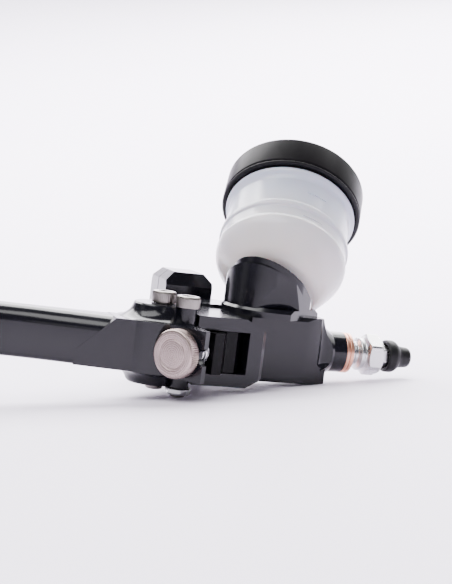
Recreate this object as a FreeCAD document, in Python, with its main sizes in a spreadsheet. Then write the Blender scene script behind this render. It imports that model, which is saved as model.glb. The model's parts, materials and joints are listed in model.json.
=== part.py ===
import FreeCAD, Part
import math
import os
from FreeCAD import Placement, Rotation, Vector

doc = FreeCAD.newDocument("BrakeMaster")

# Driving dimensions in millimetres and degrees. The origin is the centre of the handlebar
# clamp, +X runs along the handlebar to the hose side, +Y to the rider and +Z up.
VALUES = {
    "bar_radius": 11.1, "clamp_half_width": 9.3, "clamp_half_height": 22.0,
    "clamp_depth": 12.0, "clamp_corner": 5.0, "split_gap": 0.5,
    "clamp_bolt_radius": 3.0, "clamp_bolt_offset": 16.2,
    "barrel_back": 38.0, "bore_radius": 8.0, "bore_start": 15.0, "bore_end": 42.6,
    "barrel_left": 14.0, "barrel_right": 46.4, "barrel_half": 11.6,
    "boss_radius": 7.6, "boss_end": 54.5, "port_radius": 5.0,
    "pivot_x": -20.0, "pivot_y": -52.0, "pivot_radius": 3.0,
    "link_x": -13.4, "link_y": -59.8, "link_radius": 2.5,
    "fork_outer": 12.0, "fork_inner": 7.4, "fork_front": -62.0,
    "hub_x": -21.3, "hub_y": -52.5, "hub_radius": 9.1, "hub_half": 14.1, "hub_low": 13.5,
    "hub_inner": 12.15, "blade_half": 8.7,
    "adjuster_x": -17.0, "adjuster_y": -71.5, "adjuster_angle": 38.0,
    "wall": 2.3, "screw_radius": 2.0, "nut_depth": 15.2,
    "seat_x": 26.6, "seat_y": -34.0, "seat_z": 19.2, "tilt": 46.5, "lean": 25.0,
    "tower_x": 25.0, "tower_y": -36.0, "tower_radius": 17.4, "rim_tilt": 37.0, "rim_lean": 46.0,
    "tank_radius": 25.4, "tank_height": 43.0, "tank_wall": 2.2, "lid_radius": 27.8, "lid_height": 15.5,
}


def write_dimensions():
    sheet = doc.addObject("Spreadsheet::Sheet", "Dims")
    for row, (alias, value) in enumerate(VALUES.items(), start=1):
        sheet.set(f"A{row}", alias)
        sheet.set(f"B{row}", str(value))
        sheet.setAlias(f"B{row}", alias)
    doc.recompute()


def val(alias):
    return VALUES[alias]


def bind(obj, expressions):
    for prop, text in expressions.items():
        if isinstance(text, str):
            obj.setExpression(prop, text)
        else:
            setattr(obj, prop, text)


def frame(origin, along, roll=0.0):
    """Placement whose local +Z runs along a direction."""
    turn = Rotation(Vector(0, 0, 1), Vector(*along))
    return Placement(Vector(*origin), turn) * Placement(Vector(), Rotation(Vector(0, 0, 1), roll))


def cylinder(name, origin, along, radius, height):
    obj = doc.addObject("Part::Cylinder", name)
    bind(obj, {"Radius": radius, "Height": height})
    obj.Placement = frame(origin, along)
    return obj


def cone(name, origin, along, radius1, radius2, height):
    obj = doc.addObject("Part::Cone", name)
    bind(obj, {"Radius1": radius1, "Radius2": radius2, "Height": height})
    obj.Placement = frame(origin, along)
    return obj


def sphere(name, centre, radius):
    obj = doc.addObject("Part::Sphere", name)
    bind(obj, {"Radius": radius})
    obj.Placement = Placement(Vector(*centre), Rotation())
    return obj


def prism(name, origin, along, sides, radius, height, roll=0.0):
    obj = doc.addObject("Part::Prism", name)
    bind(obj, {"Polygon": sides, "Circumradius": radius, "Height": height})
    obj.Placement = frame(origin, along, roll)
    return obj


def box(name, low, high):
    obj = doc.addObject("Part::Box", name)
    bind(obj, {"Length": high[0] - low[0], "Width": high[1] - low[1], "Height": high[2] - low[2]})
    obj.Placement = Placement(Vector(*low), Rotation())
    return obj


def sketch_loop(sketch, points):
    """Add a closed loop; a point with a third value is the middle of an arc to the next one."""
    count = len(points)
    index = 0
    while index < count:
        start = points[index]
        following = points[(index + 1) % count]
        if len(following) == 3:
            end = points[(index + 2) % count]
            arc = Part.Arc(Vector(start[0], start[1], 0), Vector(following[0], following[1], 0),
                           Vector(end[0], end[1], 0))
            sketch.addGeometry(arc, False)
            index += 2
        else:
            line = Part.LineSegment(Vector(start[0], start[1], 0), Vector(following[0], following[1], 0))
            sketch.addGeometry(line, False)
            index += 1


def extrude(name, points, low, high, placement=None):
    """Prism of an outline in XY between two heights."""
    sketch = doc.addObject("Sketcher::SketchObject", name + "Outline")
    sketch_loop(sketch, points)
    sketch.Placement = (placement or Placement()) * Placement(Vector(0, 0, low), Rotation())
    obj = doc.addObject("Part::Extrusion", name)
    obj.Base = sketch
    obj.DirMode = "Normal"
    obj.LengthFwd = high - low
    obj.Solid = True
    return obj


def revolve(name, points, origin, along):
    """Turned solid: points are (radius, distance along the axis)."""
    sketch = doc.addObject("Sketcher::SketchObject", name + "Outline")
    sketch_loop(sketch, points)
    sketch.Placement = Placement(Vector(), Rotation(Vector(1, 0, 0), 90))
    obj = doc.addObject("Part::Revolution", name)
    obj.Source = sketch
    obj.Axis = Vector(0, 0, 1)
    obj.Base = Vector(0, 0, 0)
    obj.Angle = 360
    obj.Solid = True
    obj.Placement = frame(origin, along)
    return obj


def fuse(name, parts):
    obj = doc.addObject("Part::MultiFuse", name)
    obj.Shapes = parts
    obj.Refine = True
    return obj


def cut(name, base, tools):
    tool = tools[0]
    if len(tools) > 1:
        tool = fuse(name + "Tools", tools)
    obj = doc.addObject("Part::Cut", name)
    obj.Base = base
    obj.Tool = tool
    obj.Refine = True
    return obj


def common(name, base, tool):
    obj = doc.addObject("Part::MultiCommon", name)
    obj.Shapes = [base, tool]
    return obj


def group(name, parts):
    obj = doc.addObject("Part::Compound", name)
    obj.Links = parts
    return obj


def polar(centre, radius, angle):
    turn = math.radians(angle)
    return (centre[0] + radius * math.cos(turn), centre[1] + radius * math.sin(turn))


def axis_point(origin, along, distance):
    return tuple(o + a * distance for o, a in zip(origin, along))


def leaning(tilt, lean):
    """Direction tilted back from +Z and turned towards +X."""
    back, side = math.radians(tilt), math.radians(lean)
    return (math.sin(back) * math.sin(side), math.sin(back) * math.cos(side), math.cos(back))


X = (1, 0, 0)
Y = (0, 1, 0)
Z = (0, 0, 1)
DOWN = (0, 0, -1)
BARREL_Y = -val("barrel_back")
PIVOT = (val("pivot_x"), val("pivot_y"))
LINK = (val("link_x"), val("link_y"))
ADJUSTER_TURN = math.radians(val("adjuster_angle"))
ADJUSTER_IN = (math.cos(ADJUSTER_TURN), math.sin(ADJUSTER_TURN), 0)
ADJUSTER_OUT = (-ADJUSTER_IN[0], -ADJUSTER_IN[1], 0)
ADJUSTER = (val("adjuster_x"), val("adjuster_y"), 0)
SEAT = (val("seat_x"), val("seat_y"), val("seat_z"))
TANK_AXIS = leaning(val("tilt"), val("lean"))
RIM_NORMAL = leaning(val("rim_tilt"), val("rim_lean"))


def barrel(x):
    return (x, BARREL_Y, 0)


def along_adjuster(distance, across=0.0):
    """Point on the adjuster's axis, measured inward from the lever wall's face."""
    return (ADJUSTER[0] + ADJUSTER_IN[0] * distance - ADJUSTER_IN[1] * across,
            ADJUSTER[1] + ADJUSTER_IN[1] * distance + ADJUSTER_IN[0] * across)


def side_extrude(name, points, low, high):
    """Extrude a YZ outline along X."""
    turn = Placement(Vector(), Rotation(Vector(0, 0, 1), Vector(1, 0, 0)))
    local = [turn.inverse().multVec(Vector(0, y, z)) for y, z in points]
    return extrude(name, [(p.x, p.y) for p in local], low, high, turn)


def front_extrude(name, points, low, high):
    """Extrude an XZ outline along Y."""
    turn = Placement(Vector(), Rotation(Vector(1, 0, 0), 90))
    return extrude(name, points, -high, -low, turn)


def pulled(point, degrees):
    """Where a point of the lever lies after a pull."""
    x, y, turn = point[0] - PIVOT[0], point[1] - PIVOT[1], math.radians(degrees)
    return (PIVOT[0] + x * math.cos(turn) + y * math.sin(turn),
            PIVOT[1] - x * math.sin(turn) + y * math.cos(turn))


def slab(name, origin, along, size=120.0):
    """Large block that starts at a plane and lies on its outer side."""
    obj = doc.addObject("Part::Box", name)
    bind(obj, {"Length": size, "Width": size, "Height": size})
    obj.Placement = frame(origin, along) * Placement(Vector(-size / 2, -size / 2, 0), Rotation())
    return obj


def clamp_half(name, outer, inner):
    """Half of the bar clamp: bevelled at its outer face and at its ends."""
    wide, tall, corner = val("clamp_half_width"), val("clamp_half_height"), val("clamp_corner")
    lip = math.copysign(corner * 0.5, inner - outer)
    side = [(outer, -tall + corner), (outer + lip, -tall), (inner, -tall), (inner, tall),
            (outer + lip, tall), (outer, tall - corner)]
    end = corner * 0.66
    face = [(-wide, -tall + end), (-wide + end, -tall), (wide - end, -tall), (wide, -tall + end),
            (wide, tall - end), (wide - end, tall), (-wide + end, tall), (-wide, tall - end)]
    low, high = sorted((outer, inner))
    return common(name, side_extrude(name + "Side", side, -wide, wide),
                  front_extrude(name + "Face", face, low, high))


def clamp_cuts(name, start, length, radius):
    offset = val("clamp_bolt_offset")
    holes = [cylinder(f"{name}Bolt{side}", (0, start, side * offset), Y, radius, length)
             for side in (-1, 1)]
    bar = cylinder(name + "Bar", (-20, 0, 0), X, "Dims.bar_radius", 40)
    return holes + [bar]


def fork():
    """Two arms around the rocker, joined by a wall at the hose side and rounded at the pivot."""
    tall, gap, front, radius = val("fork_outer"), val("fork_inner"), val("fork_front"), 6.2
    wall, back = 16.0, -22.0
    plan = [(PIVOT[0], PIVOT[1] - radius), (-9.8, PIVOT[1] - radius), (-9.4, front), (wall - 1.5, front),
            (wall, front + 1.5), (wall, back), (-4.0, back), (-12.0, -31.0),
            (PIVOT[0] + 2.0, PIVOT[1] + radius), (PIVOT[0] - radius, PIVOT[1], 0)]
    face = [(-30.0, -tall), (wall - 6.0, -tall), (wall, -tall + 3.5), (wall, tall - 4.0),
            (wall - 8.0, tall), (-30.0, tall)]
    block = common("ForkBlock", extrude("ForkPlan", plan, -tall, tall),
                   front_extrude("ForkFace", face, front, back))
    opening = box("RockerOpening", (-40.0, -70.0, -gap), (9.6, -20.0, gap))
    swings = [cylinder(f"LinkSwing{turn}", (*pulled(LINK, turn), -tall - 1), Z, 3.8, tall * 2 + 2)
              for turn in (0, 8, 16)]
    return cut("Fork", block, [opening] + swings)


def barrel_block():
    """Barrel housing: bevelled plan, leaning hose end and a flared boss."""
    half, left, right = val("barrel_half"), val("barrel_left"), val("barrel_right")
    front, back = BARREL_Y - half, BARREL_Y + half
    plan = [(left, front), (35.5, front), (right, front + 4.2), (right, back - 6.0), (right - 6.0, back),
            (left, back)]
    side = [(front, -half + 1.5), (front + 1.5, -half), (back - 3, -half), (back, -half + 3),
            (back, half - 2), (back - 3, half + 1.4), (front + 1.6, half + 1.4), (front, half)]
    block = common("BarrelBlock", extrude("BarrelPlan", plan, -half - 1, half + 2),
                   side_extrude("BarrelSide", side, left, right))
    trimmed = cut("BarrelTrim", block, [slab("BarrelLean", (48.3, BARREL_Y, 0), (0.93, 0, 0.37))])
    flare = cone("BarrelFlare", barrel(right - 2), X, 10.6, val("boss_radius"), 5.0)
    boss = cylinder("HoseBoss", barrel(right - 4), X, "Dims.boss_radius", val("boss_end") - right + 4)
    return fuse("Barrel", [trimmed, flare, boss])


def tank_envelope(name):
    """Space kept for the rounded bottom of the reservoir."""
    outline = [(0, 0.1), (12.2, 0.1), (16.6, 1.2), (19.6, 4.1), (21.8, 7.8), (24.0, 11.2), (25.3, 13.6),
               (25.75, 16.6), (25.75, 40.0), (0, 40.0)]
    return revolve(name, outline, SEAT, TANK_AXIS)


def seat_tower():
    """Upright round tower under the reservoir with a slanted rim and a flat at its front."""
    centre, radius = (val("tower_x"), val("tower_y"), -4.0), val("tower_radius")
    rim = (val("tower_x"), val("tower_y"), val("seat_z") + 2.6)
    step = axis_point(rim, RIM_NORMAL, -3.2)
    shaft = cut("TowerShaft", cylinder("ShaftRound", centre, Z, "Dims.tower_radius", 60),
                [slab("ShaftTop", step, RIM_NORMAL)])
    collar = cut("TowerCollar", cylinder("CollarRound", centre, Z, radius - 2.2, 60),
                 [slab("CollarTop", rim, RIM_NORMAL)])
    facet = slab("TowerFacet", (23.5, -52.4, 22.3), (0, -0.951, -0.309))
    bevel = slab("TowerBevel", (32.0, -49.6, 0), (0.653, -0.758, 0))
    faced = cut("TowerFaced", fuse("TowerRound", [shaft, collar]), [facet])
    x, y = val("tower_x"), val("tower_y")
    foot = fuse("TowerFoot", [cylinder("FootRound", (x, y, 11.9), Z, radius + 0.8, 2.2),
                              cone("FootEdge", (x, y, 14.1), Z, radius + 0.8, radius - 0.4, 1.3)])
    return cut("Tower", fuse("TowerOnFoot", [faced, foot]), [bevel])


def body_arm():
    """Arm between the clamp and the barrel, with webs in front of the bar."""
    points = [(-9.3, -11.0), (-9.3, -20.0), (-12.0, -29.0), (2.0, -31.0), (26.0, -27.0), (30.0, -24.0),
              (20.0, -18.0), (9.3, -11.0)]
    return extrude("ArmBlock", points, -10.0, 13.0)


def make_body():
    solids = [clamp_half("BodyClamp", -val("clamp_depth"), -val("split_gap") / 2),
              fork(), barrel_block(), seat_tower(), body_arm()]
    raw = fuse("BodyRaw", solids)
    cuts = clamp_cuts("BodyClampCut", -10.8, 12, "Dims.clamp_bolt_radius")
    cuts.append(cylinder("Bore", barrel(val("bore_start") - 5), X, "Dims.bore_radius",
                         "Dims.bore_end - Dims.bore_start + 5"))
    cuts.append(cylinder("SpringChamber", barrel(42.0), X, 6.0, 4.5))
    cuts.append(cylinder("CirclipGroove", barrel(17.5), X, 8.8, 1.3))
    cuts.append(cylinder("HosePort", barrel(40), X, "Dims.port_radius", 20))
    cuts.append(cylinder("PivotHole", (*PIVOT, -15), Z, val("pivot_radius") + 0.04, 30))
    cuts.append(cylinder("SeatSocket", axis_point(SEAT, TANK_AXIS, -7.6), TANK_AXIS, 9.15, 10))
    cuts.append(cylinder("FeedHole", (28.0, BARREL_Y, 4.0), Z, 1.2, 14))
    cuts.append(box("RodWindow", (-13.0, -44.5, -7.4), (15.2, -31.0, 7.4)))
    cuts.append(cylinder("Flute", (45.6, -49.4, -3.0), Z, 4.2, 20))
    cuts.append(sphere("FluteEnd", (45.6, -49.4, -3.0), 4.2))
    cuts.append(cylinder("SeatThread", axis_point(SEAT, TANK_AXIS, -9.6), TANK_AXIS, 3.5, 4))
    cuts.append(tank_envelope("TankSpace"))
    return cut("body", raw, cuts)


def make_clamp_cap():
    block = clamp_half("CapBlock", val("clamp_depth") - 0.5, val("split_gap") / 2)
    return cut("clamp_cap", block, clamp_cuts("CapCut", -1, 15, val("clamp_bolt_radius") + 0.2))


def socket_screw(name, seat, along, head_radius, head_height, shank_radius, length, socket=0.6):
    """Cap screw: seat is under the head and the shank runs along the direction."""
    back = tuple(-a for a in along)
    head = revolve(name + "Head", [(0, 0), (head_radius, 0), (head_radius, head_height - 0.5),
                                   (head_radius - 0.5, head_height), (0, head_height)], seat, back)
    shank = cylinder(name + "Shank", seat, along, shank_radius, length)
    top = axis_point(seat, back, head_height)
    key = prism(name + "Key", top, along, 6, head_radius * socket, head_height * 0.6)
    return cut(name, fuse(name + "Solid", [head, shank]), [key])


def make_clamp_bolts():
    offset, seat = val("clamp_bolt_offset"), val("clamp_depth") - 0.45
    bolts = [socket_screw(f"ClampBolt{index}", (0, seat, side * offset), (0, -1, 0), 5.0, 6.0,
                          val("clamp_bolt_radius") - 0.05, 22)
             for index, side in enumerate((-1, 1))]
    return group("clamp_bolts", bolts)


def blade_outline():
    """Plan of the lever from its hub to the ball at the tip."""
    return [along_adjuster(0, -8.9), along_adjuster(val("wall"), -8.9), (-10.6, -59.0), (-20.0, -59.0),
            (-27.4, -57.0), (-30.0, -50.2), (-38.0, -46.6), (-62.0, -43.0), (-95.0, -37.6, 0),
            (-130.0, -36.0), (-150.0, -38.2, 0), (-168.0, -44.0), (-172.0, -52.0, 0), (-165.0, -55.6),
            (-148.0, -49.6, 0), (-130.0, -47.0), (-95.0, -48.6, 0), (-62.0, -54.0), (-36.0, -62.2),
            (-31.6, -63.0, 0), (-28.4, -63.4), (-26.0, -65.0, 0), along_adjuster(0, 5.6)]


def hub_turning():
    """Half profile of the waisted hub disc about the pivot."""
    disc, half, waist, low = val("hub_radius"), val("hub_half"), val("blade_half"), val("hub_low")
    return [(0, -low), (disc - 0.5, -low), (disc, -low + 0.5), (disc + 1.4, -waist - 2.0, 0),
            (disc + 5.4, -waist), (disc + 5.4, waist), (disc + 1.4, waist + 2.0, 0),
            (disc, half - 0.5), (disc - 0.5, half), (0, half)]


def hub_cavities():
    """Spaces inside the lever hub: a deep one for the fork and a shallow one for the rocker."""
    back = [(-29.2, -49.0), (-29.2, -30.0), (20.0, -30.0)]
    fork_space = [(20.0, -64.0), (-10.5, -64.0), (-10.5, -59.1), (-20.8, -59.3), (-25.6, -57.4),
                  (-28.9, -53.6)] + back
    rocker_space = [(20.0, -95.0), along_adjuster(val("wall"), -30), along_adjuster(val("wall"), 4.6),
                    (-21.8, -61.2), (-27.6, -56.6)] + back
    deep, shallow = val("hub_inner"), val("fork_inner") + 0.1
    return [extrude("ForkSpace", fork_space, -deep, deep),
            extrude("RockerSpace", rocker_space, -shallow, shallow)]


def lever_slot(name, low, high):
    """Pivot hole lengthened for the swing of the reach adjustment."""
    return [cylinder(f"{name}{index}", (PIVOT[0] + dx, PIVOT[1] + dy, low), Z, 3.35, high - low)
            for index, (dx, dy) in enumerate(((-0.3, -0.25), (0, 0), (0.3, 0.25)))]


def make_lever():
    half = val("blade_half")
    blade = extrude("Blade", blade_outline(), -half, half)
    hub = revolve("Hub", hub_turning(), (val("hub_x"), val("hub_y"), 0), Z)
    shallow = val("fork_inner") + 0.1
    ears = [cylinder("EarTop", (*LINK, shallow), Z, 3.4, val("hub_half") - shallow),
            cylinder("EarBottom", (*LINK, -shallow), DOWN, 3.4, val("hub_low") - shallow)]
    tip = sphere("TipBall", (-168.6, -49.6, 0), 9.0)
    shell = cut("LeverShell", fuse("LeverRaw", [blade, hub, tip]), hub_cavities())
    raw = fuse("LeverEared", [shell] + ears)
    cuts = [cylinder("LeverLinkHole", (*LINK, -20), Z, val("link_radius") + 0.05, 40)]
    cuts += lever_slot("LeverPivotHole", -20, 20)
    outside = axis_point(ADJUSTER, ADJUSTER_OUT, 4)
    cuts.append(cylinder("KnobRelief", ADJUSTER, ADJUSTER_OUT, 8.7, 9))
    cuts.append(cylinder("WallHole", outside, ADJUSTER_IN, val("screw_radius") + 0.06, 12))
    cuts.append(cylinder("WallNotch", (*along_adjuster(-2.0, -9.6), 0), ADJUSTER_IN, 2.9, 8))
    return cut("lever", raw, cuts)


def make_rocker():
    """Block between the fork arms that carries the lever and pushes the rod."""
    nut = along_adjuster(val("nut_depth"))
    face = val("nut_depth") - 3.2
    points = [along_adjuster(face, 3.4), along_adjuster(face, -4.6), along_adjuster(face + 3.2, -6.2),
              (1.4, -61.4), (5.4, -61.0), (7.3, -59.0), (7.3, -46.4), (-12.6, -46.4), (-16.0, -44.6),
              (-16.0, -33.5), (-23.0, -33.5), (-26.2, -50.0), (-25.0, -55.8, 0), (-20.6, -58.0),
              (-18.4, -59.6), (-17.2, -63.2, 0), (-12.3, -64.3)]
    block = extrude("RockerBlock", points, -val("fork_inner") + 0.3, val("fork_inner") - 0.3)
    cuts = [cylinder("RockerPivot", (*PIVOT, -10), Z, 4.5, 20),
            cylinder("RockerLink", (*LINK, -10), Z, 3.02, 20),
            cylinder("SpringWay", (*along_adjuster(0), 0), ADJUSTER_IN, 3.55, face + 0.2),
            cylinder("RockerNutBore", (*nut, -10), Z, 3.55, 20),
            cylinder("RockerScrew", (*along_adjuster(0), 0), ADJUSTER_IN, 2.7, 21.5)]
    return cut("rocker", block, cuts)


def flanged_bush(name, seat, along, inner, outer, flange, height):
    outline = [(inner, 0), (flange, 0), (flange, 0.25), (outer, 0.25), (outer, height), (inner, height)]
    return revolve(name, outline, seat, along)


def make_rocker_bushes():
    half = val("fork_inner") - 0.04
    bushes = [flanged_bush("BushTop", (*PIVOT, half), DOWN, val("pivot_radius") + 0.03, 4.48, 5.6, 6.6),
              flanged_bush("BushBottom", (*PIVOT, -half), Z, val("pivot_radius") + 0.03, 4.48, 5.6, 6.6)]
    return group("rocker_bushes", bushes)


def make_link_bush():
    half, inner = val("fork_inner") - 0.3, val("link_radius") + 0.03
    outline = [(inner, -half), (3.0, -half), (3.0, half), (inner, half)]
    return revolve("link_bush", outline, (*LINK, 0), Z)


def make_pivot_screw():
    return socket_screw("pivot_screw", (*PIVOT, val("hub_half") + 0.3), DOWN, 4.25, 4.0,
                        "Dims.pivot_radius", val("hub_half") + val("hub_low") + 2.6, 0.55)


def make_link_screw():
    return socket_screw("link_screw", (*LINK, val("hub_half")), DOWN, 4.25, 4.0, "Dims.link_radius",
                        val("hub_half") + val("hub_low") + 3.3, 0.55)


def make_link_nut():
    top = -val("hub_low")
    hexagon = prism("NutHex", (*LINK, top), DOWN, 6, 4.6, 2.4, 12)
    collar = cylinder("NutCollar", (*LINK, top - 2.3), DOWN, 3.7, 1.1)
    hole = cylinder("NutHole", (*LINK, top + 1), DOWN, val("link_radius") + 0.02, 8)
    return cut("link_nut", fuse("NutSolid", [hexagon, collar]), [hole])


def make_adjuster_knob():
    """Knurled knob that seats on the outside of the lever wall."""
    outline = [(val("screw_radius") + 0.02, 0.05), (6.6, 0.05), (7.6, 0.8), (8.3, 1.5), (8.3, 4.6),
               (7.5, 5.3), (val("screw_radius") + 0.02, 5.3)]
    return revolve("adjuster_knob", outline, ADJUSTER, ADJUSTER_OUT)


def make_adjuster_screw():
    start = axis_point(ADJUSTER, ADJUSTER_OUT, 5.2)
    return cylinder("adjuster_screw", start, ADJUSTER_IN, "Dims.screw_radius", 25.6)


def coil(name, start, along, radius, wire, pitch, length):
    """Compression spring as a swept wire."""
    helix = doc.addObject("Part::Helix", name + "Helix")
    helix.Pitch = pitch
    helix.Height = length - wire * 2
    helix.Radius = radius - wire
    helix.LocalCoord = "Right-handed"
    helix.Style = "New style"
    section = doc.addObject("Part::Circle", name + "Wire")
    section.Radius = wire
    section.Placement = Placement(Vector(radius - wire, 0, 0), Rotation(Vector(1, 0, 0), 90))
    sweep = doc.addObject("Part::Sweep", name)
    doc.recompute()
    sweep.Sections = [section]
    sweep.Spine = (helix, [f"Edge{n + 1}" for n in range(len(helix.Shape.Edges))])
    sweep.Solid = True
    sweep.Frenet = True
    sweep.Placement = frame(axis_point(start, along, wire), along)
    return sweep


def make_adjuster_spring():
    start = axis_point(ADJUSTER, ADJUSTER_IN, val("wall") + 0.05)
    return coil("adjuster_spring", start, ADJUSTER_IN, 3.35, 0.4, 1.9, 9.25)


def make_adjuster_nut():
    centre = along_adjuster(val("nut_depth"))
    barrel_nut = cylinder("NutBarrel", (*centre, -6.0), Z, 3.5, 12.0)
    hole = cylinder("NutThread", (*along_adjuster(6.0), 0), ADJUSTER_IN, val("screw_radius") + 0.28, 18)
    return cut("adjuster_nut", barrel_nut, [hole])


def make_pushrod():
    """Domed rod from the rocker to the piston."""
    dome = revolve("RodHead", [(0, 0), (2.4, 0.9, 0), (4.0, 4.0), (4.0, 7.0), (2.6, 8.6), (0, 8.6)],
                   barrel(-15.95), X)
    rod = cylinder("RodShank", barrel(-8), X, 2.5, 31)
    end = sphere("RodBall", barrel(23.2), 3.4)
    return fuse("pushrod", [dome, rod, end])


def make_circlip():
    ring = revolve("RingFull", [(6.6, 0), (8.75, 0), (8.75, 1.2), (6.6, 1.2)], barrel(17.55), X)
    gap = box("RingGap", (16, BARREL_Y - 1.8, -10), (20, BARREL_Y + 1.8, -4))
    lugs = [cylinder(f"RingLug{side}", (17.55, BARREL_Y + side * 2.6, -6.2), X, 1.2, 1.2)
            for side in (-1, 1)]
    return fuse("circlip", [cut("RingOpen", ring, [gap])] + lugs)


def make_stop_washer():
    return revolve("stop_washer", [(4.6, 0), (7.9, 0), (7.9, 1.2), (4.6, 1.2)], barrel(18.9), X)


def make_piston():
    """Piston with two seal grooves and a cup for the rod's ball."""
    outline = [(0, 0), (7.94, 0), (7.94, 3.5), (6.0, 3.5), (6.0, 6.3), (7.94, 6.3), (7.94, 7.4),
               (5.2, 8.4), (5.2, 13.4), (7.94, 14.0), (7.94, 15.2), (5.2, 15.2), (5.2, 17.8), (5.7, 17.8),
               (5.7, 18.4), (3.2, 18.4), (3.2, 20.4), (0, 20.4)]
    solid = revolve("PistonTurning", outline, barrel(20.2), X)
    cup = sphere("PistonCup", barrel(23.2), 3.48)
    mouth = cone("PistonMouth", barrel(20.1), X, 4.6, 3.4, 3.1)
    return cut("piston", solid, [cup, mouth])


def make_seal(name, start, inner, outer, width):
    outline = [(inner, 0), (outer - 0.5, 0), (outer, width), (outer - 0.9, width),
               (outer - 1.3, width * 0.45), (inner, width * 0.45)]
    return revolve(name, outline, barrel(start), X)


def make_return_spring():
    return coil("return_spring", barrel(38.75), X, 5.5, 0.5, 2.15, 7.6)


def make_copper_washers():
    start = val("boss_end") + 0.03
    outline = [(5.1, 0.1), (5.2, 0), (7.5, 0), (7.6, 0.1), (7.6, 1.35), (7.5, 1.45), (5.2, 1.45), (5.1, 1.35)]
    washers = [revolve(f"Washer{index}", outline, barrel(start + index * 1.5), X) for index in (0, 1)]
    return group("copper_washers", washers)


def make_bleed_bolt():
    """Hose bolt with a hexagon and a threaded seat for the nipple."""
    outline = [(1.2, 2.4), (4.9, 2.4), (4.9, 15.2), (4.3, 15.8), (4.3, 16.8), (6.0, 17.2), (6.0, 19.0),
               (6.6, 19.2), (6.6, 21.0), (1.2, 21.0)]
    shank = revolve("BoltTurning", outline, barrel(44.0), X)
    hexagon = prism("BoltHex", barrel(64.6), X, 6, 8.0, 5.0, 15)
    nut_cone = cone("BoltCone", barrel(69.6), X, 6.2, 5.0, 1.2)
    raw = fuse("BoltRaw", [shank, hexagon, nut_cone])
    seat = cylinder("BoltSeat", barrel(60.0), X, 3.1, 12)
    return cut("bleed_bolt", raw, [seat, cylinder("BoltFeed", barrel(40), X, 1.2, 24)])


def make_bleed_nipple():
    shank = revolve("NippleTurning", [(1.0, 0), (3.05, 0.8), (3.05, 8.9), (3.5, 8.9), (3.5, 9.3), (1.0, 9.3)],
                    barrel(62.0), X)
    hexagon = prism("NippleHex", barrel(71.1), X, 6, 4.6, 3.6, 10)
    barb = revolve("NippleBarb", [(1.0, 0), (2.6, 0), (2.6, 1.4), (3.2, 2.2), (2.2, 4.6), (1.0, 4.6)],
                   barrel(74.6), X)
    return cut("bleed_nipple", fuse("NippleRaw", [shank, hexagon, barb]),
               [cylinder("NippleDrill", barrel(61), X, 1.0, 20)])


def make_nipple_cap():
    outline = [(4.9, 0), (5.9, 0), (6.15, 0.4), (6.15, 3.4), (5.4, 4.6), (4.3, 5.6), (3.9, 9.8),
               (3.4, 10.45), (0, 10.45), (0, 7.8), (3.25, 7.8), (3.25, 1.9), (4.9, 1.9)]
    return revolve("nipple_cap", outline, barrel(73.0), X)


def make_reservoir():
    """Blow-moulded tank, open at the top, with a neck that plugs into the seat."""
    radius, wall, tall = val("tank_radius"), val("tank_wall"), val("tank_height")
    inside = radius - wall
    outline = [(5.6, -7.0), (8.0, -7.0), (8.0, -4.4), (6.6, -4.4), (6.6, -2.4), (8.9, -2.4), (8.9, 0.4),
               (12.0, 0.45), (16.2, 1.6), (19.2, 4.4), (21.4, 8.0), (23.6, 11.4), (24.9, 13.8),
               (radius, 16.8), (radius, 22.0),
               (radius - 0.6, 22.3), (radius - 0.6, 26.8), (radius - 1.0, 27.2), (radius - 1.0, tall - 3.4),
               (radius + 0.5, tall - 2.0), (radius + 0.5, tall), (inside - 0.9, tall), (inside - 0.9, 23.0),
               (inside, 20.6), (inside, 17.2), (22.4, 14.4), (19.4, 9.4), (17.2, 5.8), (14.8, 3.6),
               (12.0, 2.8), (5.6, 2.8)]
    return revolve("reservoir", outline, SEAT, TANK_AXIS)


def make_neck_ring():
    outline = [(6.7, -4.35), (9.1, -4.35), (9.1, -2.45), (6.7, -2.45)]
    return revolve("neck_ring", outline, SEAT, TANK_AXIS)


def make_tank_screw():
    """Hollow screw that holds the reservoir down in its seat."""
    seat = axis_point(SEAT, TANK_AXIS, 2.85)
    outline = [(1.4, -12.0), (3.4, -12.0), (3.4, -1.0), (5.5, -1.0), (5.5, 0.05), (8.4, 0.05), (8.4, 2.2),
               (1.4, 2.2)]
    return revolve("tank_screw", outline, seat, TANK_AXIS)


def make_diaphragm():
    """Rubber bellows clamped under the lid."""
    top = val("tank_height") + 0.05
    rim = val("tank_radius") + 0.4
    outline = [(0, top - 9.0), (12.0, top - 9.0), (13.4, top - 2.6), (17.0, top - 2.6), (18.2, top - 8.0),
               (21.6, top - 8.0), (22.0, top), (rim, top), (rim, top + 1.2), (20.8, top + 1.2),
               (20.4, top - 6.9), (19.2, top - 6.9), (18.0, top - 1.4), (12.6, top - 1.4),
               (11.0, top - 7.9), (0, top - 7.9)]
    return revolve("diaphragm", outline, SEAT, TANK_AXIS)


def make_lid():
    """Knurled screw lid."""
    base = val("tank_height") + 1.3
    radius, tall = val("lid_radius"), val("lid_height")
    outline = [(0, base + 3.0), (21.0, base + 3.0), (21.0, base), (radius - 1.6, base), (radius, base + 0.8),
               (radius, base + tall - 3.0), (radius - 3.0, base + tall), (0, base + tall)]
    return revolve("reservoir_lid", outline, SEAT, TANK_AXIS)


def make_lid_ring():
    """Lip under the lid, clear of the tank's flange."""
    base = val("tank_height") + 0.4
    radius, inner = val("lid_radius"), val("tank_radius") + 0.7
    outline = [(inner, base), (radius - 0.5, base), (radius, base + 0.5), (radius, base + 0.85),
               (inner, base + 0.85)]
    return revolve("lid_ring", outline, SEAT, TANK_AXIS)


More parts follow.
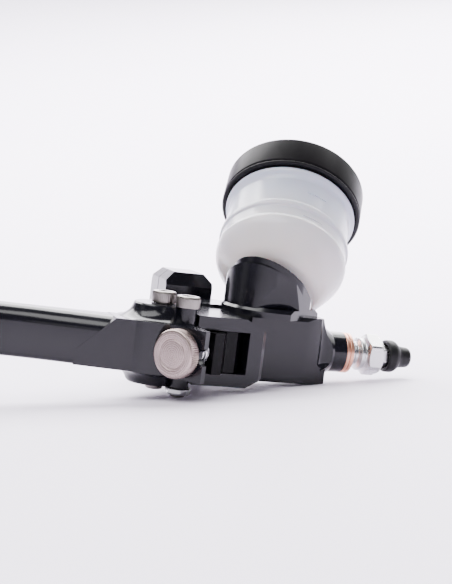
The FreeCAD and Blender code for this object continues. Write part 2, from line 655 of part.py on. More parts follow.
def make_dust_boot():
    """Bellows that seals the barrel's mouth to the rod."""
    outline = [(2.56, -2.4), (3.8, -2.4), (3.8, -0.9), (5.6, -0.4), (4.4, 0.7), (6.4, 1.4), (5.4, 2.4),
               (7.7, 2.9), (7.7, 4.6), (6.9, 4.6), (6.9, 3.5), (4.6, 2.6), (5.6, 1.6), (3.6, 0.8),
               (4.6, -0.1), (2.56, -0.9)]
    return revolve("dust_boot", outline, barrel(12.6), X)


MAKERS = (make_body, make_clamp_cap, make_clamp_bolts, make_lever, make_rocker, make_rocker_bushes,
          make_link_bush, make_pivot_screw, make_link_screw, make_link_nut, make_adjuster_knob,
          make_adjuster_screw, make_adjuster_spring, make_adjuster_nut, make_pushrod, make_circlip,
          make_stop_washer, make_piston, make_return_spring, make_copper_washers, make_bleed_bolt,
          make_bleed_nipple, make_nipple_cap, make_reservoir, make_neck_ring, make_tank_screw,
          make_diaphragm, make_lid, make_lid_ring, make_dust_boot)


def build_nodes():
    nodes = [maker() for maker in MAKERS]
    nodes.append(make_seal("primary_cup", 35.5, 5.25, 7.96, 2.4))
    nodes.append(make_seal("secondary_cup", 23.8, 6.05, 7.96, 2.6))
    return nodes


def check_states():
    bad = [obj.Name for obj in doc.Objects if {"Invalid", "Error"} & set(obj.State)]
    if bad:
        raise RuntimeError("objects in error: " + ", ".join(bad))


def export(node):
    shape = node.Shape
    if shape.isNull() or not shape.isValid() or not shape.Solids:
        raise RuntimeError("bad shape: " + node.Label)
    shape.exportStep(os.path.join("parts", node.Label + ".step"))


os.makedirs("parts", exist_ok=True)
write_dimensions()
NODES = build_nodes()
doc.recompute()
check_states()
for item in NODES:
    export(item)
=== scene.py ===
import json
import math

import bmesh
import bpy
from mathutils import Matrix, Vector


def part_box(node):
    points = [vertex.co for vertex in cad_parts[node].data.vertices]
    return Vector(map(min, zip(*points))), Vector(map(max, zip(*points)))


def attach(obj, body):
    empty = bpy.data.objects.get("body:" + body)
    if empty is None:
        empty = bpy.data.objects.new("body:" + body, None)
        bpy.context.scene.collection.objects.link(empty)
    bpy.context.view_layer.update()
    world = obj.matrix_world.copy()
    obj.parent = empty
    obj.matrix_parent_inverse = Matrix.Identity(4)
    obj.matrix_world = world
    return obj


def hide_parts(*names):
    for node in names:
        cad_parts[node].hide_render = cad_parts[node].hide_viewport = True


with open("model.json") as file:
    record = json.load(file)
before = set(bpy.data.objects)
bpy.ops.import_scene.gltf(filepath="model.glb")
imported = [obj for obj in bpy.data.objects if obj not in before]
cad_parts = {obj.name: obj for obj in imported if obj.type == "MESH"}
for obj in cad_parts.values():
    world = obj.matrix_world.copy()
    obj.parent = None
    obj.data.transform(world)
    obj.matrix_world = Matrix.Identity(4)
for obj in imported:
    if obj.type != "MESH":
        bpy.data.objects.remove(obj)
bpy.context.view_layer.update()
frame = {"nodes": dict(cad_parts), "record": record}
NODES = frame["nodes"]
JOINTS = {joint["name"]: joint for joint in frame["record"]["behaviour"]["joints"]}
MM = 0.001
WELD_DISTANCE = 0.02 * MM
ALONG_BAR = Vector((1, 0, 0))
UPWARD = Vector((0, 0, 1))

# Axes and places of the joints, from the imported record.
ADJUSTER = Vector(JOINTS["reach_turn"]["pos_m"])
ADJUSTER_IN = Vector(JOINTS["reach_turn"]["axis"]).normalized()
SEAT = Vector(JOINTS["lid_turn"]["pos_m"])
TANK_AXIS = Vector(JOINTS["lid_turn"]["axis"]).normalized()
BARREL = Vector(JOINTS["nipple_turn"]["pos_m"])


# ---------------------------------------------------------------- node helpers
class Shader:
    """Small builder for one procedural material."""

    MIX_A, MIX_B, MIX_RESULT = 6, 7, 2    # colour sockets of a Mix node

    def __init__(self, name):
        self.material = bpy.data.materials.new(name)
        self.material.use_nodes = True
        self.tree = self.material.node_tree
        self.bsdf = self.tree.nodes["Principled BSDF"]

    def node(self, kind, **inputs):
        """New shader node with some of its inputs set."""
        item = self.tree.nodes.new(kind)
        for key, value in inputs.items():
            item.inputs[key].default_value = value
        return item

    def link(self, source, out, target, into):
        self.tree.links.new(source.outputs[out], target.inputs[into])

    def set(self, **values):
        """Uniform values straight on the main shader's sockets."""
        for key, value in values.items():
            self.bsdf.inputs[key.replace("_", " ")].default_value = value
        return self

    def coords(self, origin=None, axis=None):
        """Object coordinates, optionally centred on a point with +Z along an axis."""
        texture = self.node("ShaderNodeTexCoord")
        mapping = self.node("ShaderNodeMapping")
        self.link(texture, "Object", mapping, "Vector")
        if axis is None:
            return mapping
        turn = axis.to_track_quat("Z", "Y").inverted().to_matrix()
        mapping.inputs["Rotation"].default_value = turn.to_euler()
        mapping.inputs["Location"].default_value = -(turn @ origin)
        return mapping

    def noise(self, vector, scale, detail=3.0):
        item = self.node("ShaderNodeTexNoise", Scale=scale, Detail=detail)
        self.link(vector, 0, item, "Vector")
        return item

    def ramp(self, source, out, low, high, color_low, color_high):
        """Colour that goes from one tone to another as a value rises from low to high."""
        item = self.node("ShaderNodeMapRange")
        item.inputs["From Min"].default_value = low
        item.inputs["From Max"].default_value = high
        self.link(source, out, item, "Value")
        mix = self.node("ShaderNodeMix")
        mix.data_type = "RGBA"
        mix.inputs[self.MIX_A].default_value = (*color_low, 1)
        mix.inputs[self.MIX_B].default_value = (*color_high, 1)
        self.link(item, 0, mix, 0)
        return mix

    def span(self, source, out, low, high, to_low, to_high):
        """Number that goes from to_low to to_high as a value rises from low to high."""
        item = self.node("ShaderNodeMapRange")
        item.inputs["From Min"].default_value = low
        item.inputs["From Max"].default_value = high
        item.inputs["To Min"].default_value = to_low
        item.inputs["To Max"].default_value = to_high
        self.link(source, out, item, "Value")
        return item

    def bump(self, source, out, distance):
        """Relief of the given depth in metres."""
        item = self.node("ShaderNodeBump", Strength=1.0, Distance=distance)
        self.link(source, out, item, "Height")
        self.link(item, "Normal", self.bsdf, "Normal")


def black_metal(name, tone, roughness, shine):
    """Black anodised aluminium with a fine blasted grain and faint mottling."""
    shader = Shader(name).set(Specular_IOR_Level=shine)
    place = shader.coords()
    mottle = shader.noise(place, 60.0)
    fine = shader.noise(place, 1800.0, 2.0)
    low = tuple(c * 0.9 for c in tone)
    high = tuple(c * 1.1 for c in tone)
    colour = shader.ramp(mottle, "Fac", 0.35, 0.65, low, high)
    shader.link(colour, Shader.MIX_RESULT, shader.bsdf, "Base Color")
    rough = shader.span(mottle, "Fac", 0.3, 0.7, roughness * 0.92, roughness * 1.1)
    shader.link(rough, 0, shader.bsdf, "Roughness")
    shader.bump(fine, "Fac", 0.0000004)
    return shader.material


def bright_metal(name, tone, roughness):
    """Plated or drawn metal with faint cloudy wear."""
    shader = Shader(name).set(Metallic=1.0)
    place = shader.coords()
    cloud = shader.noise(place, 160.0, 3.0)
    fine = shader.noise(place, 1400.0, 2.0)
    low = tuple(c * 0.88 for c in tone)
    colour = shader.ramp(cloud, "Fac", 0.3, 0.7, low, tone)
    shader.link(colour, Shader.MIX_RESULT, shader.bsdf, "Base Color")
    rough = shader.span(cloud, "Fac", 0.3, 0.7, roughness * 0.8, roughness * 1.25)
    shader.link(rough, 0, shader.bsdf, "Roughness")
    shader.bump(fine, "Fac", 0.0000012)
    return shader.material


WAVE_PER_METRE = 0.314    # wave texture scale that gives one ring to a metre


def turned_metal(name, tone, roughness, origin, axis, pitch, depth=0.0000015, **values):
    """Turned metal: fine rings about an axis, pitch metres apart."""
    shader = Shader(name).set(**{"Metallic": 1.0, **values})
    place = shader.coords(origin, axis)
    rings = shader.node("ShaderNodeTexWave", Scale=WAVE_PER_METRE / pitch, Distortion=1.0, Detail=2.0)
    rings.wave_type = "RINGS"
    rings.rings_direction = "Z"
    shader.link(place, 0, rings, "Vector")
    cloud = shader.noise(place, 120.0, 3.0)
    low = tuple(c * 0.9 for c in tone)
    colour = shader.ramp(cloud, "Fac", 0.3, 0.7, low, tone)
    shader.link(colour, Shader.MIX_RESULT, shader.bsdf, "Base Color")
    rough = shader.span(rings, "Fac", 0.0, 1.0, roughness * 0.8, roughness * 1.2)
    shader.link(rough, 0, shader.bsdf, "Roughness")
    shader.bump(rings, "Fac", depth)
    return shader.material


def rubber(name):
    """Dull moulded rubber with a fine grain."""
    shader = Shader(name).set(Specular_IOR_Level=0.25)
    place = shader.coords()
    fine = shader.noise(place, 1500.0, 4.0)
    colour = shader.ramp(fine, "Fac", 0.3, 0.7, (0.002, 0.002, 0.0025), (0.005, 0.005, 0.006))
    shader.link(colour, Shader.MIX_RESULT, shader.bsdf, "Base Color")
    rough = shader.span(fine, "Fac", 0.3, 0.7, 0.42, 0.6)
    shader.link(rough, 0, shader.bsdf, "Roughness")
    shader.bump(fine, "Fac", 0.00001)
    return shader.material


def milky_plastic(name):
    """Blow-moulded translucent plastic, slightly cloudy."""
    shader = Shader(name)
    place = shader.coords()
    cloud = shader.noise(place, 30.0, 2.0)
    height = shader.node("ShaderNodeSeparateXYZ")
    shader.link(shader.coords(SEAT, TANK_AXIS), 0, height, "Vector")
    colour = shader.ramp(height, "Z", 0.004, 0.034, (0.72, 0.665, 0.64), (0.53, 0.56, 0.66))
    shader.link(colour, Shader.MIX_RESULT, shader.bsdf, "Base Color")
    rough = shader.span(cloud, "Fac", 0.0, 1.0, 0.14, 0.26)
    shader.link(rough, 0, shader.bsdf, "Roughness")
    shader.set(Transmission_Weight=0.1, IOR=1.42, Subsurface_Weight=0.15, Subsurface_Scale=0.002)
    shader.bump(cloud, "Fac", 0.00001)
    return shader.material


MATERIALS = {
    "black_anodised": black_metal("BlackAnodised", (0.005, 0.005, 0.008), 0.16, 0.33),
    "black_satin": black_metal("BlackSatin", (0.005, 0.005, 0.008), 0.18, 0.33),
    # Darker tone and less shine than the other blacks: painted shade for the rocker, which sits deep in the
    # fork's pocket and is dimmed by shadow there.
    "black_gloss": black_metal("BlackGloss", (0.001, 0.001, 0.0015), 0.3, 0.12),
    "lid_black": turned_metal("LidBlack", (0.006, 0.0055, 0.0065), 0.34, SEAT, TANK_AXIS, 0.0008,
                              Metallic=0.0, Specular_IOR_Level=0.05),
    "ring_black": black_metal("RingBlack", (0.002, 0.002, 0.003), 0.35, 0.2),
    "bronze": bright_metal("SinteredBronze", (0.62, 0.42, 0.22), 0.4),
    "steel": bright_metal("ZincSteel", (0.66, 0.66, 0.67), 0.28),
    "silver": turned_metal("ClearAluminium", (0.42, 0.33, 0.31), 0.32, ADJUSTER, ADJUSTER_IN, 0.0007,
                           0.00002),
    "spring_steel": bright_metal("SpringSteel", (0.82, 0.82, 0.83), 0.22),
    "copper": turned_metal("Copper", (0.83, 0.42, 0.29), 0.3, BARREL, ALONG_BAR, 0.0008),
    "black_rubber": rubber("BlackRubber"),
    "tank": milky_plastic("MilkyTank"),
}
SCREW_STEEL = bright_metal("ScrewSteel", (0.26, 0.24, 0.225), 0.27)
SLOTS = {item["node"]: item["material_slot"] for item in frame["record"]["subparts"]}


def dress_nodes():
    """Give every CAD node its material."""
    for name, obj in NODES.items():
        obj.data.materials.clear()
        obj.data.materials.append(MATERIALS[SLOTS[name]])


def soften(obj, width):
    """Soften the machined edges of a piece by a width in millimetres."""
    weld = obj.modifiers.new("Weld", "WELD")
    weld.merge_threshold = WELD_DISTANCE
    flat = obj.modifiers.new("Flat", "DECIMATE")
    flat.decimate_type = "DISSOLVE"
    flat.angle_limit = math.radians(1.5)
    bevel = obj.modifiers.new("Bevel", "BEVEL")
    bevel.width = width * MM
    bevel.segments = 3
    bevel.limit_method = "ANGLE"
    bevel.angle_limit = math.radians(24)
    bevel.use_clamp_overlap = True
    even = obj.modifiers.new("Even", "WEIGHTED_NORMAL")
    even.keep_sharp = False


# ---------------------------------------------------------------- turned pieces
def rounded(points, radius):
    """Replace each corner of a closed (radius, height) outline by a short curve."""
    count = len(points)
    result = []
    for index, point in enumerate(points):
        here = Vector(point)
        before, after = Vector(points[index - 1]), Vector(points[(index + 1) % count])
        if point[0] == 0 or (before - here).length < 1e-6 or (after - here).length < 1e-6:
            result.append(here)
            continue
        reach = min(radius, (before - here).length * 0.45, (after - here).length * 0.45)
        start = here + (before - here).normalized() * reach
        end = here + (after - here).normalized() * reach
        for step in (0.0, 0.25, 0.5, 0.75, 1.0):
            result.append(start * (1 - step) ** 2 + here * 2 * step * (1 - step) + end * step ** 2)
    return result


def hexagonal(apothem, start, end, hollow=False):
    """Radius rule that limits the outline to a hexagon between two heights."""
    def rule(radius, height, angle):
        if start <= height <= end and (not hollow or radius < apothem * 1.2):
            turn = (angle + math.pi / 6) % (math.pi / 3) - math.pi / 6
            return min(radius, apothem / math.cos(turn))
        return radius
    return rule


def knurled(depth, count, start, end, above):
    """Radius rule for straight knurling on the rim between two heights."""
    def rule(radius, height, angle):
        if start <= height <= end and radius > above:
            return radius - depth * abs(math.sin(angle * count / 2))
        return radius
    return rule


def turned(name, outline, origin, axis, body, slot, replaced=(), steps=144, rules=(), fillet=0.25, turn=0.0):
    """Closed solid of revolution from a (radius, height) outline in millimetres."""
    side = axis.orthogonal().normalized()
    front = axis.cross(side)
    build = bmesh.new()
    rings = []
    profile = rounded(outline, fillet)
    for step in range(steps):
        angle = 2 * math.pi * step / steps
        heading = side * math.cos(angle + turn) + front * math.sin(angle + turn)
        ring = []
        for radius, height in profile:
            for rule in rules:
                radius = rule(radius, height, angle)
            ring.append(build.verts.new(origin + (axis * height + heading * radius) * MM))
        rings.append(ring)
    count = len(profile)
    for ring, following in zip(rings, rings[1:] + rings[:1]):
        for index in range(count):
            upper = (index + 1) % count
            if profile[index][0] == 0 and profile[upper][0] == 0:
                continue
            build.faces.new((ring[index], ring[upper], following[upper], following[index]))
    bmesh.ops.remove_doubles(build, verts=build.verts, dist=1e-7)
    bmesh.ops.recalc_face_normals(build, faces=build.faces)
    return finish_piece(name, build, body, slot, replaced)


def close_loft(build, rows):
    """Closed solid through rows of vertices, each a closed loop."""
    size = len(rows[0])
    for low, high in zip(rows, rows[1:]):
        for index in range(size):
            after = (index + 1) % size
            build.faces.new((low[index], low[after], high[after], high[index]))
    build.faces.new(rows[0][::-1])
    build.faces.new(rows[-1])
    bmesh.ops.recalc_face_normals(build, faces=build.faces)


def finish_piece(name, build, body, slot, replaced, crease=34):
    """Turn a bmesh into a piece on its body; replaced names the CAD nodes that it stands for."""
    mesh = bpy.data.meshes.new(name)
    build.to_mesh(mesh)
    build.free()
    mesh.shade_smooth()
    mesh.set_sharp_from_angle(angle=math.radians(crease))
    mesh.materials.append(MATERIALS[slot])
    obj = bpy.data.objects.new(name, mesh)
    bpy.context.scene.collection.objects.link(obj)
    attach(obj, body)
    if replaced:
        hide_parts(*replaced)
    return obj


def make_tank():
    """Translucent reservoir with its rib, flange and two level lines."""
    outline = [(5.6, -7.0), (8.0, -7.0), (8.0, -4.4), (6.6, -4.4), (6.6, -2.4), (8.9, -2.4), (8.9, 0.4),
               (12.0, 0.45), (16.2, 1.6), (19.2, 4.4), (21.4, 8.0), (23.5, 11.4), (24.8, 14.0),
               (25.2, 16.8), (24.7, 18.0), (24.6, 22.6), (25.25, 23.2), (25.25, 25.4), (24.1, 26.3),
               (24.2, 38.6), (24.7, 40.0), (25.7, 41.2), (25.9, 42.2), (25.6, 43.0), (22.3, 43.0),
               (22.2, 27.0), (22.6, 24.0), (22.6, 17.2), (22.0, 14.4), (19.4, 9.4), (17.2, 5.8),
               (14.8, 3.6), (12.0, 2.85), (5.6, 2.85)]
    turned("Reservoir", outline, SEAT, TANK_AXIS, "frame", "tank", ("reservoir",), 192, fillet=1.5)
    for index, (height, radius) in enumerate(((33.0, 24.25), (19.9, 24.7))):
        level_line(f"LevelLine{index}", height, radius)


def level_line(name, height, radius):
    """Short raised level mark moulded on the front of the tank."""
    axis = TANK_AXIS
    toward = (-LOOK + LOOK.dot(axis) * axis).normalized()
    side = axis.cross(toward)
    build = bmesh.new()
    rows = []
    for step in range(13):
        angle = math.radians(8 + step * 1.6)
        heading = toward * math.cos(angle) + side * math.sin(angle)
        rows.append([build.verts.new(SEAT + (axis * (height + rise) + heading * (radius + out)) * MM)
                     for rise, out in ((-0.4, -0.1), (-0.3, 0.22), (0.3, 0.22), (0.4, -0.1))])
    close_loft(build, rows)
    finish_piece(name, build, "frame", "tank", ())


def make_lid():
    """Screw lid with a bevelled rim, and the thin ring under it."""
    base = 44.3
    outline = [(0, base + 3.0), (21.0, base + 3.0), (21.0, base), (26.2, base), (27.8, base + 0.8),
               (27.8, base + 12.5), (24.8, base + 15.5), (0, base + 15.5)]
    turned("ReservoirLid", outline, SEAT, TANK_AXIS, "lid", "lid_black", ("reservoir_lid",), 192, fillet=0.6)
    low = 43.4
    ring = [(26.1, low), (27.3, low), (27.8, low + 0.5), (27.8, low + 0.85), (26.1, low + 0.85)]
    turned("LidRing", ring, SEAT, TANK_AXIS, "lid", "ring_black", ("lid_ring",), 192, fillet=0.2)


def make_knob():
    """Knurled reach knob with a faint turned face and a plain ring groove."""
    outline = [(0, 0.05), (6.6, 0.05), (7.5, 0.7), (8.28, 1.4), (8.28, 4.5), (7.75, 5.12), (7.2, 5.28),
               (5.3, 5.28), (5.2, 5.12), (4.85, 5.12), (4.75, 5.28), (0, 5.28)]
    turned("AdjusterKnob", outline, ADJUSTER, -ADJUSTER_IN, "adjuster", "silver", ("adjuster_knob",), 288,
           (knurled(0.28, 72, 1.2, 4.6, 7.6),), 0.12)
    rod = [(0, 0.1)]
    turns = 28    # grooves that stand for the thread
    for step in range(turns):
        low = 0.1 + 19.9 * step / turns
        rod += [(1.72, low + 0.05), (1.98, low + 0.3), (1.98, low + 0.4), (1.72, low + 0.65)]
    rod += [(1.4, 20.3), (0, 20.3)]
    turned("AdjusterScrew", rod, ADJUSTER, ADJUSTER_IN, "adjuster", "steel", ("adjuster_screw",), 48,
           fillet=0.02)


def socket_head(name, node, place, body, shank, bottom, top, head_top):
    """Knurled cap screw standing on the hub, from its shank's end to its head's top."""
    outline = [(0, bottom), (shank - 0.3, bottom), (shank, bottom + 0.35), (shank, top), (4.2, top),
               (4.25, top + 0.15), (4.25, head_top - 0.75), (3.95, head_top - 0.18), (3.6, head_top),
               (2.5, head_top), (2.32, head_top - 0.3), (2.32, head_top - 2.0), (0, head_top - 2.3)]
    rules = (hexagonal(2.0, head_top - 2.4, head_top - 0.25, True),
             knurled(0.12, 44, top + 0.4, head_top - 0.6, 4.1))
    screw = turned(name, outline, place, UPWARD, body, "steel", (node,), 264, rules, 0.12)
    screw.data.materials[0] = SCREW_STEEL


def make_screws():
    """Fork pivot screw, link screw and the nut under it."""
    pivot = Vector(JOINTS["lever_pull"]["pos_m"])
    link = Vector(JOINTS["reach_swing"]["pos_m"])
    socket_head("PivotScrew", "pivot_screw", pivot, "frame", 3.0, -15.8, 14.4, 18.4)
    socket_head("LinkScrew", "link_screw", link, "blade", 2.5, -16.8, 14.1, 18.1)
    nut = [(2.54, -15.88), (3.7, -15.88), (4.6, -15.2), (4.6, -14.1), (4.55, -13.75), (4.1, -13.52),
           (2.54, -13.52)]
    turned("LinkNut", nut, link, UPWARD, "blade", "steel", ("link_nut",), 144,
           (hexagonal(3.98, -15.3, -14.0),), 0.12, math.radians(12))


def make_hose_bolt():
    """Bright bolt with its collar and hexagon, the nipple and its rubber cap."""
    bolt = [(1.2, 46.4), (4.4, 46.4), (4.9, 46.9), (4.9, 59.0), (4.35, 59.6), (4.35, 60.6), (4.9, 61.0),
            (6.0, 61.25), (6.25, 61.6), (6.25, 62.6), (5.75, 63.0), (5.9, 63.5), (7.0, 64.3), (7.9, 64.7),
            (7.95, 69.0), (6.9, 70.1), (5.2, 70.75), (3.12, 70.75), (3.12, 60.2), (1.2, 60.2)]
    base = Vector((0, BARREL.y, BARREL.z))
    axis = ALONG_BAR
    turned("HoseBolt", bolt, base, axis, "frame", "steel", ("bleed_bolt",), 192,
           (hexagonal(7.0, 64.0, 70.4),), 0.25, math.radians(15))
    for index in (0, 1):
        low = 54.53 + index * 1.5
        washer = [(5.1, low), (7.6, low), (7.6, low + 1.42), (5.1, low + 1.42)]
        turned(f"CopperWasher{index}", washer, base, axis, "frame", "copper",
               ("copper_washers",) if index == 0 else (), 144, fillet=0.35)
    nipple = [(1.0, 62.0), (3.05, 62.9), (3.05, 70.9), (3.5, 70.9), (3.5, 71.1), (4.5, 71.3), (4.5, 74.5),
              (4.1, 74.7), (2.6, 74.7), (2.6, 76.0), (3.15, 76.8), (2.2, 79.1), (1.0, 79.1)]
    turned("BleedNipple", nipple, base, axis, "nipple", "steel", ("bleed_nipple",), 192,
           (hexagonal(3.98, 71.2, 74.6),), 0.15, math.radians(10))
    cap = [(4.9, 73.0), (5.8, 73.0), (6.15, 73.6), (6.15, 76.2), (5.5, 77.4), (4.5, 78.4), (4.1, 79.6),
           (3.85, 82.4), (3.3, 83.4), (0, 83.45), (0, 80.8), (3.25, 80.8), (3.25, 74.9), (4.9, 74.9)]
    turned("NippleCap", cap, base, axis, "nipple_cap", "black_rubber", ("nipple_cap",), 128, fillet=0.5)


# ---------------------------------------------------------------- lever
BLADE_START, BLADE_END, BLADE_STEPS = -37.0, -165.0, 90
BLADE_HALF, BLADE_THINNING = 8.64, 0.8    # half height at the hub, and its loss towards the end
THINNING_START, THINNING_LENGTH = 90.0, 75.0
BALL_RADIUS, BALL_PLACE = 9.0, Vector((-168.6, -49.6, 0)) * MM
# Plan of the lever's front and back edges in millimetres.
BLADE_FRONT = ((-30.0, -64.09), (-36.0, -62.2), (-62.0, -54.0), (-78.0, -50.6), (-95.0, -48.6),
               (-112.0, -47.4), (-130.0, -47.0), (-148.0, -49.6), (-165.0, -55.6))
BLADE_BACK = ((-30.0, -47.8), (-38.0, -46.6), (-62.0, -43.0), (-78.0, -39.9), (-95.0, -37.6),
              (-112.0, -36.4), (-130.0, -36.0), (-150.0, -38.2), (-168.0, -44.0))


def curve_at(points, x):
    """Height of a smooth line through points with falling x."""
    for index in range(len(points) - 1):
        left, right = points[index + 1], points[index]
        if left[0] <= x <= right[0] or index == len(points) - 2:
            before = points[max(index - 1, 0)]
            after = points[min(index + 2, len(points) - 1)]
            slope_right = (left[1] - before[1]) / (left[0] - before[0])
            slope_left = (after[1] - right[1]) / (after[0] - right[0])
            span = left[0] - right[0]
            share = (x - right[0]) / span
            keep, move = 1 - share, share
            return ((1 + 2 * move) * keep ** 2 * right[1] + move * keep ** 2 * span * slope_right
                    + move ** 2 * (3 - 2 * move) * left[1] + move ** 2 * (move - 1) * span * slope_left)


def blade_section(width, half):
    """Section of the lever: flat front, broad rounding above it and small ones elsewhere."""
    corner = 1.6
    drop, depth = half * 0.62, min(7.0, width * 0.6)
    loop = [(0.0, -half + corner)]
    for step in range(13):
        turn = math.pi / 2 * step / 12
        loop.append((depth * (1 - math.cos(turn)), half - drop + drop * math.sin(turn)))
    for centre_y, centre_z, start in ((width - corner, half - corner, 90), (width - corner, corner - half, 0),
                                      (corner, corner - half, -90)):
        for step in range(5):
            turn = math.radians(start - 90 * step / 4)
            loop.append((centre_y + corner * math.cos(turn), centre_z + corner * math.sin(turn)))
    return loop[:-1]


def make_blade():
    """Rounded blade swept along its plan, with a ball at its end."""
    build = bmesh.new()
    rows = []
    for step in range(BLADE_STEPS + 1):
        x = BLADE_START + (BLADE_END - BLADE_START) * step / BLADE_STEPS
        front, back = curve_at(BLADE_FRONT, x) + 0.06, curve_at(BLADE_BACK, x)
        half = BLADE_HALF - BLADE_THINNING * max(0.0, (-x - THINNING_START) / THINNING_LENGTH)
        section = blade_section(back - front, half)
        rows.append([build.verts.new(Vector((x, front + y, z)) * MM) for y, z in section])
    close_loft(build, rows)
    finish_piece("LeverBlade", build, "blade", "black_satin", ("lever",), 40)
    turns = [math.radians(-90 + 6 * step) for step in range(31)]
    arc = [(BALL_RADIUS * math.cos(turn), BALL_RADIUS * math.sin(turn)) for turn in turns]
    ball = [(0, -BALL_RADIUS)] + arc[1:-1] + [(0, BALL_RADIUS)]
    turned("LeverBall", ball, BALL_PLACE, UPWARD, "blade", "black_satin", (), 64, fillet=0.01)


def make_hub():
    """The hub end of the lever, cut slantwise where the rounded blade begins."""
    build = bmesh.new()
    build.from_mesh(NODES["lever"].data)
    build.transform(NODES["lever"].matrix_world)
    bmesh.ops.remove_doubles(build, verts=build.verts, dist=WELD_DISTANCE)
    place, normal = Vector((-43.0, -60.0, 3.5)) * MM, Vector((-1.0, 0.0, 1.0)).normalized()
    outward = Vector((-1.0, 0.0, 0.0))
    for point, direction in ((place, normal), (Vector((-50.0, 0.0, 0.0)) * MM, outward)):
        everything = build.verts[:] + build.edges[:] + build.faces[:]
        bmesh.ops.bisect_plane(build, geom=everything, plane_co=point, plane_no=direction, clear_outer=True)
    bmesh.ops.holes_fill(build, edges=[edge for edge in build.edges if edge.is_boundary], sides=0)
    bmesh.ops.recalc_face_normals(build, faces=build.faces)
    obj = finish_piece("LeverHub", build, "blade", "black_satin", ("lever",), 24)
    soften(obj, 0.5)


dress_nodes()
for node, width in (("body", 0.55), ("clamp_cap", 0.5), ("rocker", 0.35)):
    soften(NODES[node], width)
make_blade()
make_hub()
make_knob()
make_screws()
make_hose_bolt()


# ---------------------------------------------------------------- camera, floor and light
SENSOR_HEIGHT = 36.0
FOCAL_HEIGHTS = 1100 / 584    # focal length in picture heights
CAMERA_PLACE = Vector((-0.11709, -0.41871, 0.0537))


def set_camera(place, right, up):
    """Camera at a place with its own right and up directions."""
    data = bpy.data.cameras.new("Camera")
    data.sensor_fit = "VERTICAL"
    data.sensor_height = SENSOR_HEIGHT
    data.lens = SENSOR_HEIGHT * FOCAL_HEIGHTS
    data.clip_start = 0.01
    obj = bpy.data.objects.new("Camera", data)
    bpy.context.scene.collection.objects.link(obj)
    back = right.cross(up)
    turn = Matrix((right, up, back)).transposed()
    obj.matrix_world = Matrix.Translation(place) @ turn.to_4x4()
    bpy.context.scene.camera = obj


def orient(azimuth, elevation, roll):
    """Camera axes: azimuth from +Y towards +X, looking down by the elevation, object leaning by the roll."""
    az, el, ro = (math.radians(v) for v in (azimuth, elevation, roll))
    level = Vector((math.cos(az), -math.sin(az), 0))
    upright = Vector((math.sin(az) * math.sin(el), math.cos(az) * math.sin(el), math.cos(el)))
    right = math.cos(ro) * level + math.sin(ro) * upright
    up = -math.sin(ro) * level + math.cos(ro) * upright
    return right, up


AZIMUTH, ELEVATION, ROLL = 18, 5, 7.15
RIGHT, UP = orient(AZIMUTH, ELEVATION, ROLL)
LOOK = UP.cross(RIGHT)
set_camera(CAMERA_PLACE, RIGHT, UP)


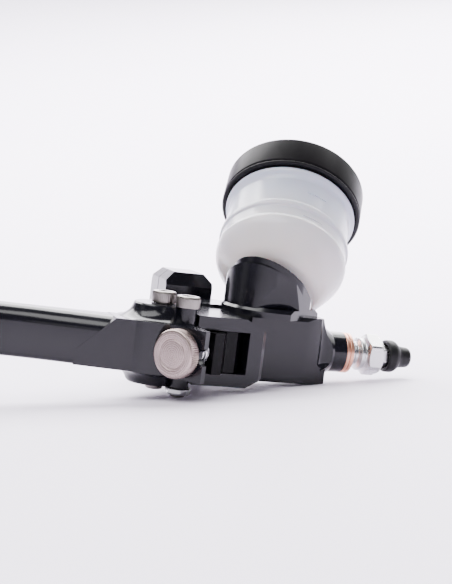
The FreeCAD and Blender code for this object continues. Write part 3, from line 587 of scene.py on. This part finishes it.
def make_floor():
    """Pale sweep that the part lies on, tilted to its three resting points."""
    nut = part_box("link_nut")
    nut_foot = Vector(((nut[0][0] + nut[1][0]) / 2, (nut[0][1] + nut[1][1]) / 2, nut[0][2]))
    barrel_foot = Vector((0.0455, -0.043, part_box("body")[0][2] + 0.0104))
    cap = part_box("clamp_cap")
    cap_foot = Vector((0, cap[1][1] - 0.002, cap[0][2]))
    up = (barrel_foot - nut_foot).cross(cap_foot - nut_foot).normalized()
    forward = (LOOK - LOOK.dot(up) * up).normalized()
    side = forward.cross(up)
    mesh = bpy.data.meshes.new("Floor")
    obj = bpy.data.objects.new("Floor", mesh)
    bpy.context.scene.collection.objects.link(obj)
    level_end, bend = 0.3, 1.6    # metres behind the part, and the sweep's radius
    profile = [(-1.6, 0.0), (-0.6, 0.0), (level_end, 0.0)]
    for step in range(1, 25):
        turn = math.pi / 2 * step / 24
        profile.append((level_end + bend * math.sin(turn), bend * (1 - math.cos(turn))))
    profile.append((level_end + bend, 2.6))
    build = bmesh.new()
    rows = []
    for run, rise in profile:
        row = [build.verts.new(nut_foot + forward * run + up * (rise - 0.0001) + side * width)
               for width in (-2.2, -0.7, 0.7, 2.2)]
        rows.append(row)
    for low, high in zip(rows, rows[1:]):
        for left in range(3):
            face = build.faces.new((low[left], low[left + 1], high[left + 1], high[left]))
            face.smooth = True
    build.to_mesh(mesh)
    build.free()
    shader = Shader("PaleFloor").set(Roughness=0.55)
    place = shader.coords()
    cloud = shader.noise(place, 3.0, 2.0)
    colour = shader.ramp(cloud, "Fac", 0.3, 0.7, (0.91, 0.85, 0.99), (0.93, 0.87, 1.0))
    shader.link(colour, Shader.MIX_RESULT, shader.bsdf, "Base Color")
    mesh.materials.append(shader.material)


make_floor()
CENTRE = Vector((0.0, -0.04, 0.01))


def area_light(name, place, target, size, power, color=(1, 1, 1)):
    """Rectangular softbox turned towards a target."""
    data = bpy.data.lights.new(name, "AREA")
    data.shape = "RECTANGLE"
    data.size, data.size_y = size
    data.energy = power
    data.color = color
    obj = bpy.data.objects.new(name, data)
    bpy.context.scene.collection.objects.link(obj)
    turn = (place - target).to_track_quat("Z", "Y").to_matrix().to_4x4()
    obj.matrix_world = Matrix.Translation(place) @ turn


def in_view(right, up, back):
    """Point about the part, given by the camera's own directions in metres."""
    return CENTRE + RIGHT * right + UP * up - LOOK * back


area_light("TopSoftbox", in_view(-0.05, 0.95, -0.95), CENTRE, (2.0, 0.9), 78, (1.0, 0.985, 1.0))
area_light("FloorFill", in_view(-0.35, 1.1, 0.45), CENTRE, (1.3, 0.7), 23)
area_light("FrontFill", in_view(-0.5, 0.15, 1.2), CENTRE, (0.9, 0.5), 1.5)
area_light("LeftSoftbox", in_view(-0.95, 0.35, 0.25), CENTRE, (0.35, 0.8), 0.5)
area_light("RightStrip", in_view(0.42, 0.45, 0.85), CENTRE, (0.05, 0.5), 0.5)
area_light("BackRight", in_view(0.9, 0.4, -0.7), CENTRE, (0.6, 0.9), 5)
area_light("Backdrop", in_view(0.0, 1.3, -0.6), in_view(0.0, 0.3, -1.7), (2.2, 0.8), 75)

world = bpy.data.worlds.new("World")
bpy.context.scene.world = world
world.use_nodes = True
world.node_tree.nodes["Background"].inputs["Color"].default_value = (0.92, 0.90, 1.0, 1)
world.node_tree.nodes["Background"].inputs["Strength"].default_value = 0.16

make_tank()
make_lid()
